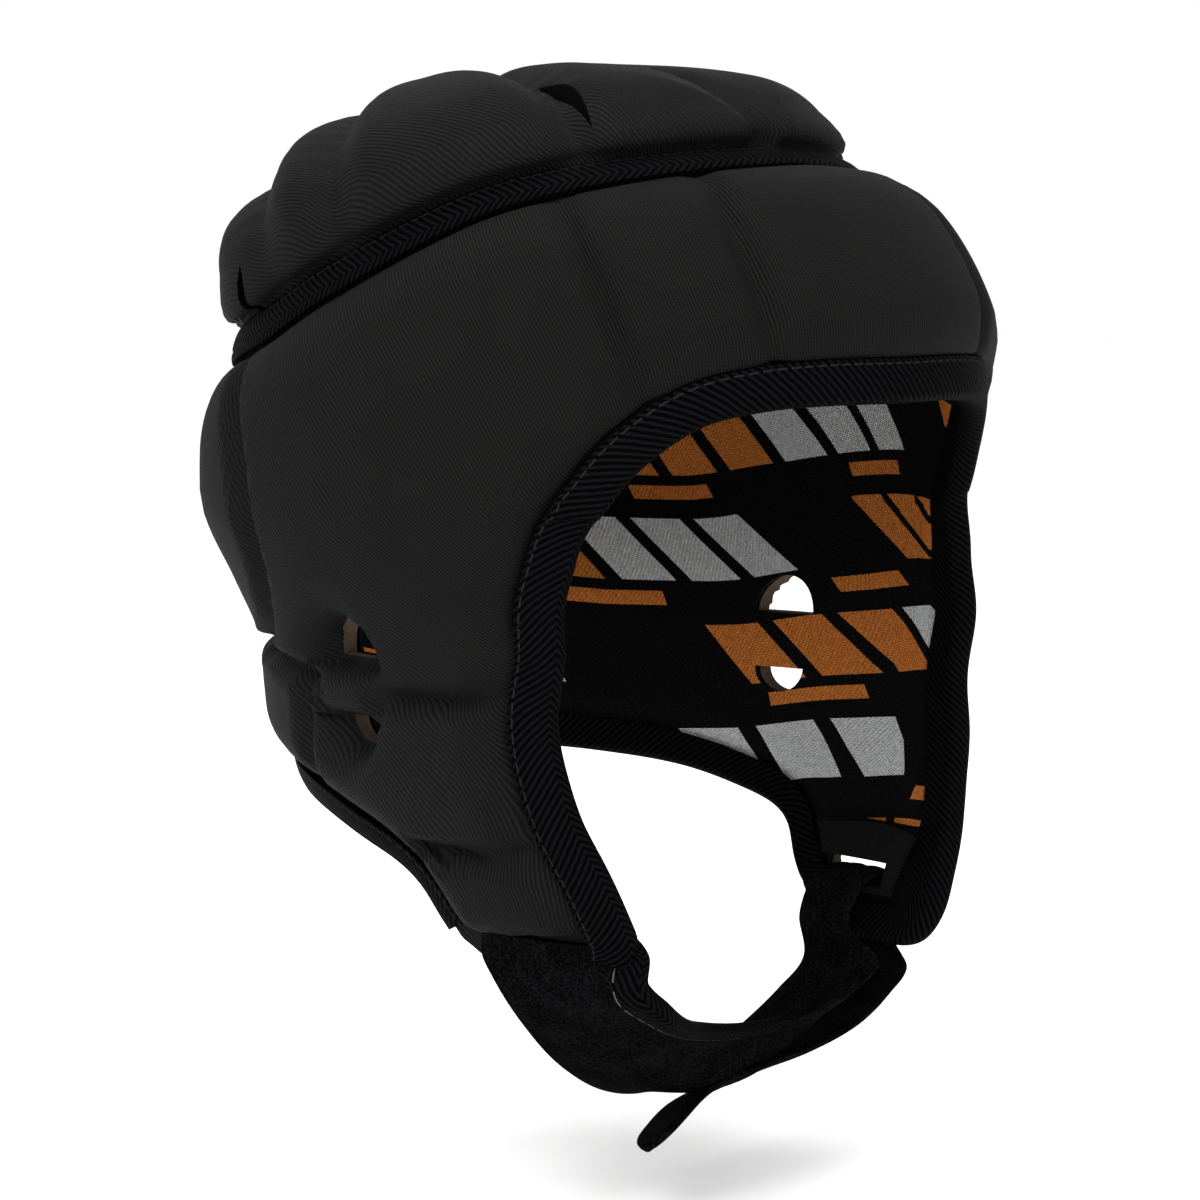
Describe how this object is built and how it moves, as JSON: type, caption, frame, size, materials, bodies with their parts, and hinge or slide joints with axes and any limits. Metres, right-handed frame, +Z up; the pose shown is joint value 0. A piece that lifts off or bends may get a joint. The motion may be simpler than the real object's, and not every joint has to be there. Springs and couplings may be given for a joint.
{
  "type": "soft padded headgear",
  "caption": "Soft padded head guard with a domed crown, a wrap-round band with ear openings and jaw flaps, taped edges, a cloth lining and a chin strap that folds back through a slot.",
  "frame": {"origin": "top of the head hollow, on the inside of the crown, where the headgear sits on the wearer's head", "axes": "+Z up, the face looks along -Y, the wearer's left is +X"},
  "size_m": [0.1828, 0.2132, 0.268],
  "materials": {
    "crown_fabric": "fine ribbed stretch fabric over foam",
    "band_fabric": "fine ribbed stretch fabric over foam",
    "lining_cloth": "smooth printed lining cloth",
    "binding_tape": "woven herringbone tape",
    "patch_cloth": "plain woven reinforcement",
    "strap_velour": "short velour pile"
  },
  "bodies": {
    "root": {"crown_panel": "crown_fabric", "band_panel": "band_fabric", "lining": "lining_cloth", "crown_binding": "binding_tape", "face_binding": "binding_tape", "rear_binding": "binding_tape", "slot_patch": "patch_cloth", "chin_strap": "strap_velour", "strap_binding": "binding_tape"}
  },
  "joints": []
}
